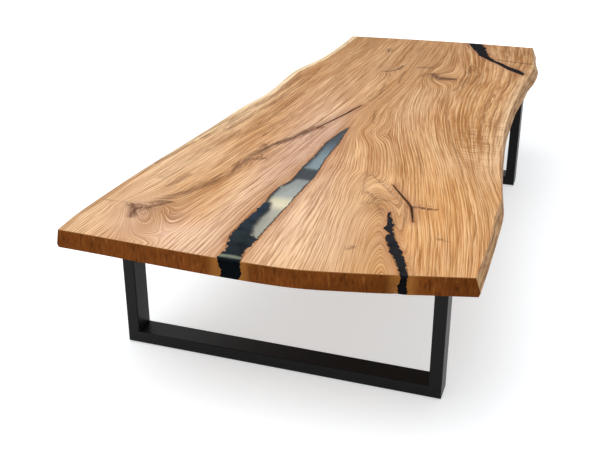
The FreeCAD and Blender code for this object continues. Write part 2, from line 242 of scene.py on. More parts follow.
# Cracks: their rims on the top, each edge with the raggedness of its wall.
crack_meshes = {node: merged(node) for node in RESINS}
crack_rims = []
rim_raggedness = []
for node, (_, raggedness) in RESINS.items():
    segments = rim(*crack_meshes[node])
    crack_rims.append(segments)
    rim_raggedness += [raggedness] * len(segments)
crack_rims = np.concatenate(crack_rims)
rim_raggedness = np.array(rim_raggedness)

# Walls fray in waves of these lengths and heights, which die away on both sides of the wall.
FRAY_WAVES = ((36.0, 4.0), (14.0, 5.0), (6.0, 3.4))
FRAY_REACH = 17.0
FRAY_END = 2.5 * FRAY_REACH

# The curved crack opens out downwards at its mouth, where it meets the front end.
MOUTH = 4.0
crack_points, _ = crack_meshes["front_crack_resin"]
FLARE_Y = crack_points[:, 1].min()
FLARE_X = crack_points[crack_points[:, 1] < FLARE_Y + MOUTH, 0].mean()
FLARE = 6.0
FLARE_TURN = 1.5
FLARE_ACROSS = 26.0
FLARE_ALONG = 30.0
FLARE_DEPTH = 35.0


def fray(points):
    """Ragged crack walls: points near a wall are pushed sideways, wood and resin alike."""
    frayed = points.copy()
    gap, which = nearest(points, crack_rims)
    for row in np.nonzero(gap < FRAY_END)[0]:
        push = 0.0
        for wave, height in FRAY_WAVES:
            push += height * noise.noise(Vector(points[row] / wave))
        frayed[row, 0] += push * rim_raggedness[which[row]] * math.exp(-(gap[row] / FRAY_REACH) ** 2)
    x, y, z = points.T
    aside = x - FLARE_X
    near = np.exp(-(aside / FLARE_ACROSS) ** 2 - ((y - FLARE_Y) / FLARE_ALONG) ** 2)
    lower = np.clip((TOP - z) / FLARE_DEPTH, 0, 1)
    frayed[:, 0] += FLARE * np.tanh(aside / FLARE_TURN) * near * lower
    return frayed


# Mesh widths on the top, on the walls and along the cracks, and how far from a crack the finest one goes:
# over the top, on the uppermost part of the walls, and on the whole walls near the front end.
TOP_NET = 8.0
WALL_NET = 30.0
CRACK_NET = 2.6
NET_CLEARANCE = 0.4 * CRACK_NET
FINE_ON_TOP = 9.0
FINE_ON_UPPER_WALL = 7.0
FINE_ON_FRONT_WALL = 18.0
UPPER_WALL = 3.0
FRONT_WALL = 55.0


def longest_edge(middles):
    """The longest edge that the mesh may keep at each place."""
    gap, _ = nearest(middles, crack_rims)
    upper = middles[:, 2] > TOP - UPPER_WALL
    at_front = middles[:, 1] < FRONT + FRONT_WALL
    ragged = (gap < np.where(upper, FINE_ON_UPPER_WALL, FINE_ON_FRONT_WALL)) & (upper | at_front)
    return np.where(ragged, CRACK_NET, np.where(upper, TOP_NET, WALL_NET))


def dense(node):
    """The piece's mesh with an even net over its top, finer along the cracks."""
    points, triangles = merged(node)
    points, walls = refine(points, triangles[~flat_on_top(points, triangles)], longest_edge)
    keys, index = edges_of(walls)
    open_edges = keys[np.bincount(index.ravel()) == 1]
    rows, links = np.unique(open_edges, return_inverse=True)
    outline = points[rows, :2]
    segments = points[open_edges][:, :, :2]
    low = outline.min(axis=0)
    high = outline.max(axis=0)
    fine = lattice(low, high, CRACK_NET)
    fine = fine[nearest(fine, crack_rims)[0] < FINE_ON_TOP]
    net = np.concatenate([lattice(low, high, TOP_NET), fine])
    net = net[inside(net, segments)]
    net = net[nearest(net, segments)[0] > NET_CLEARANCE]
    plan = [Vector(point) for point in np.concatenate([outline, net])]
    links = links.reshape(-1, 2).tolist()
    drawn, _, cells, sources, *_ = delaunay_2d_cdt(plan, links, [], 0, SAME_PLACE)
    drawn = np.array([tuple(point) for point in drawn])
    cells = np.array(cells)
    cells = cells[inside(drawn[cells].mean(axis=1), segments)]
    number = np.concatenate([rows, len(points) + np.arange(len(net))])
    number = number[[source[0] for source in sources]]
    points = np.concatenate([points, np.column_stack([net, np.full(len(net), TOP)])])
    return points, np.concatenate([walls, number[cells]])


# Grain: where ten fibres run across the slab, station by station along it. Each fibre's place in the
# rings is its place at one of the stations.
STATIONS = (-910, -700, -500, -300, -100, 100, 300, 500, 700, 910)
FIBRES = (
    (-440, -432, -418, -398, -376, -350, -332, -315, -295, -285),
    (-350, -335, -308, -288, -256, -236, -226, -208, -196, -190),
    (-262, -240, -196, -168, -140, -120, -108, -98, -95, -92),
    (-110, -100, -82, -66, -50, -28, -12, -2, -6, -8),
    (0, -5, -6, -8, -14, -10, 8, 16, 10, 8),
    (128, 110, 85, 50, 8, 6, 22, 30, 24, 20),
    (172, 160, 140, 96, 45, 22, 40, 45, 40, 36),
    (352, 312, 262, 215, 152, 102, 80, 80, 84, 74),
    (450, 425, 388, 330, 270, 228, 208, 203, 164, 120),
    (560, 520, 475, 415, 390, 383, 385, 395, 398, 385),
)
RING_STATION = 2

# Knots that turn the rings: centre, lean, lift of the rings, radius across and along.
EDDIES = (
    (122, 445, 0.0, 58, 44, 66),
    (-107, 722, 0.0, 18, 16, 26),
    (-36, 486, 0.25, 26, 24, 48),
    (60, 550, 0.0, 24, 28, 34),
    (32, -105, -0.15, 30, 24, 58),
    (74, -110, -0.15, 26, 22, 58),
    (-10, 20, 0.0, 16, 34, 50),
    (-190, -390, 0.1, 16, 22, 40),
)

# Nested arcs of rings: axis from the outermost arc inwards, lift per millimetre along it, length
# before the lift fades, and reach to the left and to the right of the axis.
NESTS = (
    (((110, -380), (148, -470), (187, -560), (208, -660), (238, -760), (278, -905)), 0.5, 600, 68, 26),
    (((-254, -894), (-266, -840), (-288, -790), (-308, -750), (-300, -650)), 1.5, 135, 36, 46),
)
NEST_FADE = 60.0

# Below the top the rings lean away from the pith, on either side of it.
PITH_X = -40.0
PITH_SPREAD = 220.0


def along_stations(values, y):
    """Smooth run through a fibre's stations."""
    knots = np.array(STATIONS, float)
    heights = np.array(values, float)
    slopes = np.gradient(heights, knots)
    at = np.clip(np.searchsorted(knots, y) - 1, 0, len(knots) - 2)
    span = knots[at + 1] - knots[at]
    t = np.clip((y - knots[at]) / span, 0, 1)
    rise = (2 * t**3 - 3 * t**2 + 1) * heights[at] + (3 * t**2 - 2 * t**3) * heights[at + 1]
    lean = (t**3 - 2 * t**2 + t) * slopes[at] + (t**3 - t**2) * slopes[at + 1]
    return rise + lean * span


def rings_at(x, y, depth):
    """Place across the growth rings, in millimetres."""
    lines = [along_stations(fibre, y) for fibre in FIBRES]
    rings = [fibre[RING_STATION] for fibre in FIBRES]
    across = rings[0] + np.minimum(x - lines[0], 0) + np.maximum(x - lines[-1], 0)
    for left, right, ring, following in zip(lines, lines[1:], rings, rings[1:]):
        across += np.clip((x - left) / (right - left), 0, 1) * (following - ring)
    for centre_x, centre_y, lean, lift, wide, long in EDDIES:
        aside = (x - centre_x - lean * (y - centre_y)) / wide
        across += lift * np.exp(-aside**2 - ((y - centre_y) / long) ** 2)
    for axis, growth, full, left, right in NESTS:
        axis_x, axis_y = np.array(sorted(axis, key=lambda point: point[1]), float).T
        run = (y - axis[0][1]) * np.sign(axis[-1][1] - axis[0][1])
        lift = growth * np.clip(run, 0, full) * np.exp(-(np.maximum(run - full, 0) / NEST_FADE) ** 2)
        aside = x - np.interp(y, axis_y, axis_x)
        across += lift * np.exp(-(aside / np.where(aside < 0, left, right)) ** 2)
    return across + depth * np.tanh((x - PITH_X) / PITH_SPREAD)


# Dark marks in the wood: strength, half width, and the points of the line.
STROKES = (
    (0.55, 2.5, ((-405, -728), (-365, -724), (-330, -722), (-300, -728))),
    (1.00, 11, ((-331, -738), (-318, -752), (-312, -774))),
    (0.85, 8, ((-266, -700), (-290, -726), (-306, -750))),
    (0.65, 15, ((-285, -690), (-262, -650), (-240, -610), (-222, -560), (-203, -505))),
    (0.80, 13, ((-203, -510), (-198, -470), (-198, -420), (-190, -370), (-186, -300))),
    (0.70, 7, ((-190, -398), (-172, -388), (-160, -380))),
    (1.00, 13, ((-101, -122), (-116, -150), (-130, -195), (-152, -245), (-172, -292), (-182, -340))),
    (0.55, 3.5, ((-216, -222), (-205, -150), (-196, -90), (-188, -20))),
    (0.45, 8, ((-356, -280), (-338, -160), (-328, -60), (-320, 20), (-306, 120))),
    (0.45, 8, ((-306, 120), (-300, 240), (-296, 330))),
    (0.40, 8, ((-394, -480), (-385, -420), (-372, -330))),
    (0.35, 9, ((-345, -560), (-330, -480), (-322, -400), (-305, -300), (-292, -220))),
    (0.50, 8, ((-302, -600), (-288, -540))),
    (0.45, 5, ((-322, -210), (-292, -20), (-272, 150), (-266, 300), (-262, 420))),
    (0.45, 5, ((-268, -260), (-250, -120), (-238, 20), (-232, 160))),
    (0.35, 3.5, ((190, -484), (216, -516), (244, -549), (254, -600), (262, -648))),
    (1.00, 7, ((248, -549), (272, -546), (300, -548))),
    (0.45, 3.5, ((112, -385), (118, -440), (135, -515))),
    (0.50, 3.5, ((128, -398), (160, -440), (190, -480))),
    (0.50, 6, ((148, -505), (168, -530), (192, -532))),
    (0.30, 6, ((152, -562), (170, -548), (188, -575), (200, -606))),
    (0.60, 5, ((346, -690), (356, -692))),
    (0.60, 5, ((181, -788), (186, -780))),
    (0.80, 7, ((-106, 736), (-104, 704))),
    (0.95, 6, ((-56, 467), (-38, 475), (-26, 492), (-16, 540))),
    (0.70, 3, ((5, 490), (4, 450), (10, 395), (16, 350))),
    (1.00, 14, ((104, 470), (116, 452), (132, 440), (150, 442))),
    (0.60, 6, ((70, 478), (68, 452))),
    (0.70, 8, ((48, 545), (70, 549))),
    (0.60, 4.5, ((196, 612), (200, 560), (208, 480), (203, 400), (190, 330))),
    (0.45, 5, ((236, 500), (233, 450), (230, 420))),
    (0.85, 5, ((232, 723), (276, 715), (327, 703), (386, 697))),
    (0.50, 3.5, ((10, 80), (20, 30), (36, -34))),
    (0.45, 4, ((-24, 335), (-18, 280), (-10, 210), (-24, 150))),
)
STROKE_REACH = 2.5


def stroke_places(x, y):
    """Signed distance from the nearest dark mark in half widths, and the mark's strength there."""
    best = np.full(len(x), np.inf)
    side = np.full(len(x), STROKE_REACH)
    strength = np.zeros(len(x))
    for amount, width, line in STROKES:
        for (x0, y0), (x1, y1) in zip(line, line[1:]):
            length = math.hypot(x1 - x0, y1 - y0)
            tx = (x1 - x0) / length
            ty = (y1 - y0) / length
            run = (x - x0) * tx + (y - y0) * ty
            past = run - np.clip(run, 0, length)
            offset = (x - x0) * ty - (y - y0) * tx
            gap = np.hypot(past, offset) / width
            closer = (gap < best) & (gap < STROKE_REACH)
            best = np.where(closer, gap, best)
            side = np.where(closer, offset / width, side)
            fade = np.clip(STROKE_REACH - gap, 0, 1)
            strength = np.where(closer, amount * fade, strength)
    return side, strength


# Tones of the wood: centre, radius across and along, amount. Blush is pink, or amber where negative.
BLUSH = (
    (-95, -330, 66, 260, 1.0),
    (-80, -130, 44, 150, 0.9),
    (-92, -720, 50, 240, 0.75),
    (-150, -860, 60, 70, 1.0),
    (-150, 60, 90, 260, 0.4),
    (30, -640, 45, 280, 0.8),
    (-270, -790, 80, 110, 1.0),
    (130, -760, 70, 150, 0.5),
    (-370, -560, 70, 200, 0.4),
    (345, -480, 100, 300, -0.8),
    (320, -20, 60, 160, -0.8),
    (250, -260, 60, 110, -0.6),
    (115, 450, 55, 70, -0.6),
    (-190, 720, 50, 170, -0.6),
    (255, -800, 50, 130, -0.7),
    (300, 330, 110, 260, -0.6),
    (310, 820, 110, 100, -0.6),
)
PALE = (
    (-405, -820, 80, 130, 0.75),
    (-360, -540, 70, 170, 0.6),
    (70, -720, 90, 260, 0.55),
    (130, -820, 120, 90, 0.3),
    (-128, -620, 34, 150, 0.6),
    (-140, -860, 60, 60, 0.5),
    (310, -250, 90, 120, 0.35),
    (-100, 10, 24, 110, 0.6),
    (-270, -400, 50, 120, 0.45),
    (-335, -60, 42, 300, 1.0),
    (-405, -410, 32, 120, 0.8),
    (110, 150, 50, 190, 0.45),
    (-90, 480, 50, 280, 0.3),
    (395, 130, 35, 420, 1.0),
    (390, 250, 26, 260, 0.7),
)
# Darker zones: at knots, and over much of the rear of the top.
DUSK = (
    (-262, -760, 44, 120, 0.9),
    (-230, -610, 36, 90, 0.35),
    (-195, -560, 26, 90, 0.45),
    (-66, -660, 32, 210, 1.0),
    (-130, -350, 36, 110, 0.4),
    (-262, 60, 36, 300, 0.5),
    (-200, 560, 40, 380, 0.75),
    (-185, 820, 45, 110, 0.5),
    (60, -30, 120, 120, 0.2),
    (-10, 230, 80, 180, 0.3),
    (40, 680, 110, 260, 0.5),
    (110, 450, 50, 60, 0.5),
    (180, -560, 40, 70, 0.7),
    (235, -800, 40, 110, 0.5),
    (170, -750, 40, 130, 0.35),
    (300, -30, 65, 140, 0.75),
    (310, 820, 100, 100, 0.9),
    (250, 380, 110, 220, 0.3),
)
STAIN = (
    (-312, -748, 38, 36, 0.7),
    (-190, -390, 36, 60, 0.3),
    (112, 448, 34, 36, 0.45),
    (62, 552, 30, 26, 0.25),
    (-34, 482, 30, 34, 0.25),
    (-106, 722, 18, 24, 0.3),
    (190, -560, 34, 60, 0.12),
)
RIPPLE = (
    (345, -90, 45, 190, 1.0),
    (300, -60, 40, 120, 0.6),
    (-60, -330, 40, 140, 0.4),
)


def zones(x, y, rows):
    """How strong a tone is at each place."""
    total = np.zeros(len(x))
    for centre_x, centre_y, across, along, amount in rows:
        total += amount * np.exp(-((x - centre_x) / across) ** 2 - ((y - centre_y) / along) ** 2)
    return np.clip(total, -1, 1)


# Sapwood shows along the left live edge, faintly at the front and in full further back.
SAP_WIDTH = 17.0
SAP_DEPTH = 2.0
SAP_FRONT = -520.0
SAP_RUN = 300.0
SAP_LEAST = 0.2

# The live edges are what runs along the slab in its outline and stays clear of the cracks.
EDGE_CLEARANCE = 3.0


def oak_slab(material):
    """The slab with its ragged cracks, and the figure of its wood."""
    outline = rim(*merged("oak_slab"))
    run_x, run_y = np.abs(outline[:, 1] - outline[:, 0]).T
    live = (run_y > run_x) & (nearest(outline.mean(axis=1), crack_rims)[0] > EDGE_CLEARANCE)
    points, triangles = dense("oak_slab")
    points = fray(points)
    x, y, z = points.T
    depth = TOP - z
    crack_gap, _ = nearest(points, crack_rims)
    edge_gap, _ = nearest(points, outline[live])
    share = np.where(x < 0, np.clip((y - SAP_FRONT) / SAP_RUN, SAP_LEAST, 1), 0)
    sap = share * np.exp(-(edge_gap / SAP_WIDTH) ** 3) * np.clip(1 - depth / SAP_DEPTH, 0, 1)
    side, strength = stroke_places(x, y)
    make_piece(
        "oak_slab_finish", points, triangles, material, "oak_slab", "oak",
        grain=(rings_at(x, y, depth), y, depth),
        tone=(zones(x, y, BLUSH), zones(x, y, PALE), zones(x, y, DUSK)),
        mark=(zones(x, y, STAIN), sap, crack_gap),
        stroke=(side, strength, zones(x, y, RIPPLE)),
    )


# Tint of the cast resin along each crack, from the front end to the rear. The clear one has painted light
# and shade drawn in: a cream patch of painted light, a dark band painted where the bar under the slab is
# seen from the front, and a dark tip.
RIVER_TINT_AND_PAINTED_LIGHT = (
    (-905, "#8a917f"),
    (-888, "#8a917f"),
    (-860, "#6d7169"),
    (-800, "#b3b1a4"),
    (-660, "#bdbbad"),
    # Painted light: a bright cream patch.
    (-632, "#fdf3cf"),
    (-606, "#f4ecc9"),
    (-580, "#b8bdb7"),
    (-484, "#a4aca9"),
    # Painted dark band where the bar under the slab is seen through the resin from the front.
    (-470, "#2c3844"),
    (-412, "#2c3844"),
    (-398, "#8fa3ab"),
    (-310, "#889ca5"),
    (-250, "#5d7280"),
    (-200, "#324553"),
    (-90, "#1e2b37"),
)
POUR_TINT = (
    (-904, "#1a2126"),
    (-900, "#757b6c"),
    (-894, "#757b6c"),
    (-888, "#20262a"),
    (-780, "#2a3237"),
    (-640, "#2a3541"),
)
CRACK_TINT = ((-905, "#27272a"), (900, "#191a1c"))
FILLER_TINT = ((-905, "#3b2a1d"), (900, "#3b2a1d"))
TINTS = {
    "river_clear_resin": RIVER_TINT_AND_PAINTED_LIGHT,
    "river_black_resin": POUR_TINT,
    "branch_check_resin": FILLER_TINT,
}

# Painted shade in the resin: it darkens below its face, down in the crack, and along its left wall
# further out than along the right one.
SHADE_BELOW_FACE = 0.55
SHADE_DEPTH = 6.0
LEFT_WALL_SHADE_SCALE = 0.5
RIGHT_WALL_SHADE_SCALE = 1.6


def resin_piece(node, material):
    """The resin of one crack, with its tint and its distance from the walls."""
    points, triangles = dense(node)
    walls = rim(*crack_meshes[node])
    gap, which = nearest(points, walls)
    on_left = walls[which].mean(axis=1)[:, 0] < points[:, 0]
    # The painted shade along the walls reaches further out from the left wall than from the right one.
    gap *= np.where(on_left, LEFT_WALL_SHADE_SCALE, RIGHT_WALL_SHADE_SCALE)
    points = fray(points)
    tints = TINTS.get(node, CRACK_TINT)
    stations = [y for y, _ in tints]
    colours = np.array([srgb(text)[:3] for _, text in tints])
    depth = TOP - points[:, 2]
    # Painted shade below the resin's face, down in the crack.
    light = 1 - SHADE_BELOW_FACE * np.clip(depth / SHADE_DEPTH, 0, 1)
    tint = [light * np.interp(points[:, 1], stations, channel) for channel in colours.T]
    slot, _ = RESINS[node]
    make_piece(f"{node}_finish", points, triangles, material, node, slot, tint=tint, wall_gap=gap)


def masked(tree, amount, masks):
    """An amount held back by masks: sockets, or patterns with where they begin and where they are full."""
    for mask in masks:
        if isinstance(mask, tuple):
            pattern, begins, full = mask
            inputs = {0: pattern, 1: begins, 2: full, 4: amount}
            amount = add(tree, "ShaderNodeMapRange", inputs, interpolation_type="SMOOTHSTEP")
        else:
            amount = add(tree, "ShaderNodeMath", {0: mask, 1: amount}, operation="MULTIPLY")
    return amount


def coated(tree, ground, coats):
    """A ground colour under coats, each one a tone, its amount and the masks that hold it back."""
    colour = srgb(ground) if isinstance(ground, str) else ground
    for tone, amount, *masks in coats:
        over = srgb(tone) if isinstance(tone, str) else tone
        inputs = {0: masked(tree, amount, masks), 6: colour, 7: over}
        colour = add(tree, "ShaderNodeMix", inputs, 2, data_type="RGBA")
    return colour


# Oiled oak: honey heartwood with dark pore lines along the rings, pale sapwood at the live edge, a
# pink blush beside the long crack, purple-brown marks at knots, dark brown end grain. Satin, no film.
# Pores and fibres finer than about 2 mm are drawn at that size, so that they still show.

# Width of the rings on the flat face, over what distance it changes, and the saw marks' lean in radians.
RING_WIDTH = 8.0
RING_CHANGE = 55.0
SAW_LEAN = 0.65


def kept_values(tree, name):
    """The three values that the slab's mesh keeps under a name."""
    vector = add(tree, "ShaderNodeAttribute", None, "Vector", attribute_name=name)
    return add(tree, "ShaderNodeSeparateXYZ", {0: vector}, None)


def streaks(tree, width, length, detail=2.0, roughness=0.55):
    """Noise drawn out along the fibres, with its width and length in millimetres."""
    grain = add(tree, "ShaderNodeAttribute", None, "Vector", attribute_name="grain")
    place = add(tree, "ShaderNodeMapping", {"Vector": grain, "Scale": (1 / width, 1 / length, 1.0)})
    inputs = {"Vector": place, "Scale": 1.0, "Detail": detail, "Roughness": roughness}
    return add(tree, "ShaderNodeTexNoise", inputs, noise_dimensions="2D")


def growth_rings(tree):
    """Place within each ring, and its pore lines: of a strength of its own, and broken along the fibres."""
    across, _, _ = kept_values(tree, "grain")
    inputs = {"W": across, "Scale": 1 / RING_CHANGE}
    uneven = add(tree, "ShaderNodeTexNoise", inputs, noise_dimensions="1D")
    meander = streaks(tree, 55.0, 340.0)
    wobble = streaks(tree, 24.0, 80.0)
    ring = add(tree, "ShaderNodeMath", {0: across, 1: RING_WIDTH}, operation="DIVIDE")
    for sway, rings in ((meander, 1.5), (uneven, 4.0), (wobble, 0.6)):
        ring = add(tree, "ShaderNodeMath", {0: sway, 1: rings, 2: ring}, operation="MULTIPLY_ADD")
    growth = add(tree, "ShaderNodeMath", {0: ring}, operation="FRACT")
    number = add(tree, "ShaderNodeMath", {0: ring}, operation="FLOOR")
    vigour = add(tree, "ShaderNodeTexWhiteNoise", {"W": number}, noise_dimensions="1D")
    vigour = add(tree, "ShaderNodeMapRange", {0: vigour, 3: 0.3, 4: 1.0})
    breaks = streaks(tree, 16.0, 330.0, 3.0)
    pores = masked(tree, vigour, [(growth, 0.35, 0.9), (growth, 1.0, 0.93), (breaks, 0.28, 0.6)])
    return growth, pores


def sapwood_streaks(tree):
    """How much sapwood shows at each place."""
    _, sap, _ = kept_values(tree, "mark")
    share = add(tree, "ShaderNodeMapRange", {0: streaks(tree, 14.0, 160.0, 3.0), 3: 0.2, 4: 1.8})
    return masked(tree, sap, [share])


def dark_marks(tree):
    """How dark the marks of the wood are, with fuzzy and broken lines."""
    side, strength, _ = kept_values(tree, "stroke")
    fuzz = add(tree, "ShaderNodeMapRange", {0: streaks(tree, 6.0, 45.0, 3.0), 3: -1.5, 4: 1.5})
    aside = add(tree, "ShaderNodeMath", {0: side, 1: fuzz}, operation="ADD")
    aside = add(tree, "ShaderNodeMath", {0: aside}, operation="ABSOLUTE")
    breaks = streaks(tree, 9.0, 60.0)
    return masked(tree, strength, [(aside, 1.5, 0.0), (breaks, 0.2, 0.48)])


def oak_flat_face(tree, growth, pores, bands, fibres):
    """Colour of the oak where it was planed flat."""
    _, along, _ = kept_values(tree, "grain")
    blush, pale, dusk = kept_values(tree, "tone")
    stain, _, crack_gap = kept_values(tree, "mark")
    _, _, ripple_zone = kept_values(tree, "stroke")
    clouds = streaks(tree, 110.0, 420.0)
    strands = streaks(tree, 13.0, 420.0)
    flecks = streaks(tree, 4.0, 80.0)
    ripple = streaks(tree, 48.0, 9.0, 1.0, 0.5)
    crack_flecks = streaks(tree, 6.0, 18.0)
    sapwood = sapwood_streaks(tree)
    inputs = {0: along, 1: -850.0, 2: -150.0, 3: 0.35, 4: 1.0}
    rearward = add(tree, "ShaderNodeMapRange", inputs, interpolation_type="SMOOTHSTEP")
    return coated(tree, "#cf9a68", (
        # Heartwood in bands and clouds, with its pink and amber blush, its dusky zones and its pale ones.
        ("#ae7745", 1.0, (bands, 0.34, 0.64)),
        ("#dcb083", 0.45, (clouds, 0.55, 0.3)),
        ("#cfab9a", 0.9, blush),
        ("#ca8c46", -0.7, blush),
        ("#94602f", 0.85, dusk),
        ("#e9c8a3", 0.85, pale),
        # The dark line where the sapwood begins, and the sapwood.
        ("#7f532b", 0.6, (sapwood, 0.05, 0.16), (sapwood, 0.34, 0.2)),
        ("#f6e0bb", 0.95, (sapwood, 0.22, 0.5)),
        # Pale side of the rings, strands that are stronger to the rear, fibres, flecks and pore lines.
        ("#edc899", 0.3, (growth, 0.45, 0.1)),
        ("#e9c393", 0.5, (strands, 0.46, 0.28), rearward),
        ("#8c592c", 0.55, (strands, 0.52, 0.72), rearward),
        ("#eecb9d", 0.4, (fibres, 0.5, 0.3)),
        ("#8a5829", 0.55, (fibres, 0.5, 0.72)),
        ("#764a24", 0.35, (flecks, 0.58, 0.75)),
        ("#774a24", 0.7, pores),
        # Ripples across the grain, stained knots and dark marks.
        ("#8a592c", 0.55, (ripple, 0.48, 0.66), ripple_zone),
        ("#7a5845", 0.6, stain),
        ("#563522", 0.95, dark_marks(tree)),
        # Brown halo of the cracks, its amber flecks and the dark line at the resin.
        ("#9a6f58", 0.35, (crack_gap, 30.0, 4.0)),
        ("#a5662f", 0.6, (crack_gap, 12.0, 2.0), (crack_flecks, 0.4, 0.65)),
        ("#3c2516", 0.75, (crack_gap, 3.2, 0.6)),
    ))


def oak_bark_side(tree):
    """Colour of the oak under the bark, along the live edges: short brown marks."""
    place = add(tree, "ShaderNodeTexCoord", None, "Object")
    scale = (1 / (30 * MM), 1 / (60 * MM), 1 / (9 * MM))
    place = add(tree, "ShaderNodeMapping", {"Vector": place, "Scale": scale})
    inputs = {"Vector": place, "Scale": 1.0, "Detail": 4.0, "Roughness": 0.6}
    marks = add(tree, "ShaderNodeTexNoise", inputs)
    return coated(tree, "#deb07e", [("#9a6b40", 1.0, (marks, 0.36, 0.66))])


def oak_end_grain(tree):
    """Colour of the sawn ends: dark patches, slanting saw marks, lighter by the cracks, painted highlight
    at the top edge.
    """
    _, _, depth = kept_values(tree, "grain")
    _, _, crack_gap = kept_values(tree, "mark")
    place = add(tree, "ShaderNodeTexCoord", None, "Object")
    patches = add(tree, "ShaderNodeTexNoise", {"Vector": place, "Scale": 1 / (70 * MM), "Detail": 2.0})
    scale = (1 / (6 * MM), 1.0, 1 / (24 * MM))
    inputs = {"Vector": place, "Rotation": (0.0, SAW_LEAN, 0.0), "Scale": scale}
    place = add(tree, "ShaderNodeMapping", inputs)
    inputs = {"Vector": place, "Scale": 1.0, "Detail": 4.0, "Roughness": 0.6}
    saw = add(tree, "ShaderNodeTexNoise", inputs)
    return coated(tree, "#86491b", (
        ("#693810", 0.7, (patches, 0.4, 0.65)),
        ("#42210a", 0.8, (saw, 0.5, 0.72)),
        ("#b0753a", 0.5, (saw, 0.44, 0.28)),
        ("#c0813f", 0.55, (crack_gap, 30.0, 4.0)),
        # Painted highlight along the top edge of the sawn ends.
        ("#c8965c", 0.6, (depth, 2.4, 0.6)),
    ))


def oiled_oak():
    """Flat faces, sawn ends and the dark walls of the cracks, laid over the bark side."""
    material, tree = new_material("oiled_oak")
    _, _, depth = kept_values(tree, "grain")
    _, _, crack_gap = kept_values(tree, "mark")
    growth, pores = growth_rings(tree)
    bands = streaks(tree, 38.0, 900.0, 3.0)
    fibres = streaks(tree, 2.5, 120.0)
    facing = add(tree, "ShaderNodeNewGeometry", None, "True Normal")
    facing = add(tree, "ShaderNodeVectorMath", {0: facing}, operation="ABSOLUTE")
    _, endwise, upright = add(tree, "ShaderNodeSeparateXYZ", {0: facing}, None)
    colour = coated(tree, oak_bark_side(tree), (
        (oak_flat_face(tree, growth, pores, bands, fibres), 1.0, (upright, 0.9, 0.97)),
        (oak_end_grain(tree), 1.0, (endwise, 0.6, 0.85)),
        ("#17110d", 1.0, (crack_gap, 5.0, 3.0), (depth, 0.2, 1.5), (endwise, 0.85, 0.6)),
    ))
    rough = add(tree, "ShaderNodeMapRange", {0: bands, 3: 0.42, 4: 0.62})
    height = add(tree, "ShaderNodeMath", {0: pores, 1: -0.8, 2: fibres}, operation="MULTIPLY_ADD")
    relief = add(tree, "ShaderNodeBump", {"Strength": 0.15, "Distance": 0.6 * MM, "Height": height})
    inputs = {"Base Color": colour, "Roughness": rough, "Normal": relief, "Specular IOR Level": 0.04}
    shader = add(tree, "ShaderNodeBsdfPrincipled", inputs)
    add(tree, "ShaderNodeOutputMaterial", {0: shader}, None)
    return material


# Cast epoxy, pigmented black and sanded to a satin: deep and cloudy, with a faint blue cast and next to
# no shine.
def black_resin():
    material, tree = new_material("black_pigmented_epoxy")
    tint = add(tree, "ShaderNodeAttribute", None, "Vector", attribute_name="tint")
    place = add(tree, "ShaderNodeTexCoord", None, "Object")
    inputs = {"Vector": place, "Scale": 1 / (45 * MM), "Detail": 3.0, "Roughness": 0.6}
    cloud = add(tree, "ShaderNodeTexNoise", inputs)
    share = add(tree, "ShaderNodeMapRange", {0: cloud, 1: 0.3, 2: 0.55, 3: 0.45, 4: 1.0})
    colour = coated(tree, "#07080a", [(tint, 1.0, share)])
    inputs = {"Base Color": colour, "Roughness": 0.3, "Specular IOR Level": 0.001}
    shader = add(tree, "ShaderNodeBsdfPrincipled", inputs)
    add(tree, "ShaderNodeOutputMaterial", {0: shader}, None)
    return material


# Cast epoxy, half clear and half milky: grey at the front, smoky slate at the tip, with painted shade along
# the walls, and painted light and shade in its tint.
def clear_resin():
    material, tree = new_material("smoky_clear_epoxy")
    tint = add(tree, "ShaderNodeAttribute", None, "Vector", attribute_name="tint")
    wall_gap = add(tree, "ShaderNodeAttribute", None, "Fac", attribute_name="wall_gap")
    # Painted shade of the crack walls seen through the resin.
    colour = coated(tree, tint, [("#10161b", 1.0, (wall_gap, 7.0, 0.5))])
    inputs = {
        "Base Color": colour,
        "Roughness": 0.15,
        "IOR": 1.3,
        "Specular IOR Level": 0.04,
        "Transmission Weight": 0.5,
    }
    shader = add(tree, "ShaderNodeBsdfPrincipled", inputs)
    add(tree, "ShaderNodeOutputMaterial", {0: shader}, None)
    return material


# Powder-coated steel: matt black with a fine pebbled skin, a soft sheen at a grazing angle.
def powder_coat():
    material, tree = new_material("black_powder_coat")
    place = add(tree, "ShaderNodeTexCoord", None, "Object")
    pebbles = add(tree, "ShaderNodeTexNoise", {"Vector": place, "Scale": 1 / (1.2 * MM), "Detail": 2.0})
    wear = add(tree, "ShaderNodeTexNoise", {"Vector": place, "Scale": 1 / (140 * MM), "Detail": 3.0})
    colour = coated(tree, "#151516", [("#1c1c1d", 1.0, wear)])
    rough = add(tree, "ShaderNodeMapRange", {0: wear, 3: 0.34, 4: 0.46})
    relief = add(tree, "ShaderNodeBump", {"Strength": 0.15, "Distance": 0.2 * MM, "Height": pebbles})
    inputs = {"Base Color": colour, "Roughness": rough, "Normal": relief, "Specular IOR Level": 0.14}
    shader = add(tree, "ShaderNodeBsdfPrincipled", inputs)
    add(tree, "ShaderNodeOutputMaterial", {0: shader}, None)
    return material


# Zinc-plated steel: bright grey with a faint spangle.
def zinc_plate():
    material, tree = new_material("zinc_plated_steel")
    place = add(tree, "ShaderNodeTexCoord", None, "Object")
    spangle = add(tree, "ShaderNodeTexNoise", {"Vector": place, "Scale": 1 / (2 * MM), "Detail": 2.0})
    colour = coated(tree, "#9a9da0", [("#c4c6c8", 1.0, spangle)])
    inputs = {"Base Color": colour, "Roughness": 0.35, "Metallic": 1.0}
    shader = add(tree, "ShaderNodeBsdfPrincipled", inputs)
    add(tree, "ShaderNodeOutputMaterial", {0: shader}, None)
    return material


